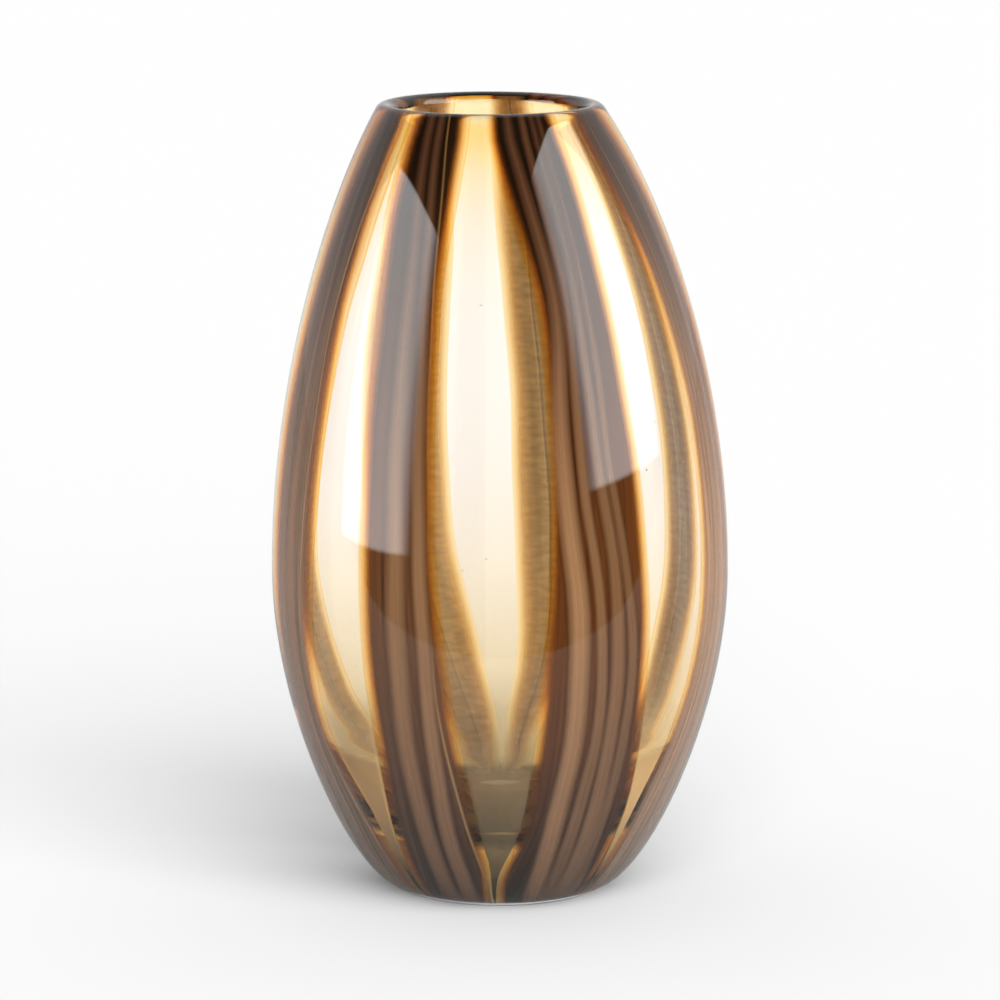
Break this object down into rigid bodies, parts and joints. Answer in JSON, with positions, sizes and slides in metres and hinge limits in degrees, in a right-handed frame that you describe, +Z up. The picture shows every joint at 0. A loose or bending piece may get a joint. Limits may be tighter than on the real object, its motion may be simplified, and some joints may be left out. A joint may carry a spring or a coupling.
{
  "type": "blown glass vase",
  "caption": "Tall egg-shaped blown glass vase with a small open mouth, a thick solid floor and vertical dark and amber cane bands cased in clear glass.",
  "frame": {"origin": "centre of the flat foot, on the surface that the vase stands on", "axes": "+Z up along the vase's axis, -Y towards the front"},
  "size_m": [0.174, 0.174, 0.3],
  "materials": {
    "clear_glass": "fire-polished gloss",
    "bubble_glass": "fire-polished gloss",
    "amber_glass": "gloss, seen through the casing",
    "umber_glass": "gloss, seen through the casing",
    "taupe_glass": "milky gloss, seen through the casing"
  },
  "bodies": {
    "root": {"amber_cane_1": "amber_glass", "amber_cane_2": "amber_glass", "amber_cane_3": "amber_glass", "amber_cane_4": "amber_glass", "amber_cane_5": "amber_glass", "amber_cane_6": "amber_glass", "amber_cane_7": "amber_glass", "amber_cane_8": "amber_glass", "band_1_amber_thread_3": "amber_glass", "band_1_taupe_thread_1": "taupe_glass", "band_1_taupe_thread_2": "taupe_glass", "band_1_umber_cane_1": "umber_glass", "band_1_umber_cane_2": "umber_glass", "band_1_umber_cane_3": "umber_glass", "band_1_umber_cane_4": "umber_glass", "band_2_amber_thread_3": "amber_glass", "band_2_taupe_thread_1": "taupe_glass", "band_2_taupe_thread_2": "taupe_glass", "band_2_umber_cane_1": "umber_glass", "band_2_umber_cane_2": "umber_glass", "band_2_umber_cane_3": "umber_glass", "band_2_umber_cane_4": "umber_glass", "band_3_taupe_thread_1": "taupe_glass", "band_3_taupe_thread_2": "taupe_glass", "band_3_taupe_thread_3": "taupe_glass", "band_3_taupe_thread_4": "taupe_glass", "band_3_umber_cane_1": "umber_glass", "band_3_umber_cane_2": "umber_glass", "band_3_umber_cane_3": "umber_glass", "band_3_umber_cane_4": "umber_glass", "band_3_umber_cane_5": "umber_glass", "band_4_taupe_thread_1": "taupe_glass", "band_4_taupe_thread_2": "taupe_glass", "band_4_umber_cane_1": "umber_glass", "band_4_umber_cane_2": "umber_glass", "band_4_umber_cane_3": "umber_glass", "band_5_taupe_thread_1": "taupe_glass", "band_5_umber_cane_1": "umber_glass", "band_5_umber_cane_2": "umber_glass", "band_6_amber_thread_1": "amber_glass", "band_6_umber_cane_1": "umber_glass", "band_6_umber_cane_2": "umber_glass", "band_7_amber_thread_1": "amber_glass", "band_7_taupe_thread_2": "taupe_glass", "band_7_umber_cane_1": "umber_glass", "band_7_umber_cane_2": "umber_glass", "band_7_umber_cane_3": "umber_glass", "band_8_taupe_thread_1": "taupe_glass", "band_8_umber_cane_1": "umber_glass", "band_8_umber_cane_2": "umber_glass", "clear_casing": "clear_glass", "inner_bubble": "bubble_glass"}
  },
  "joints": []
}
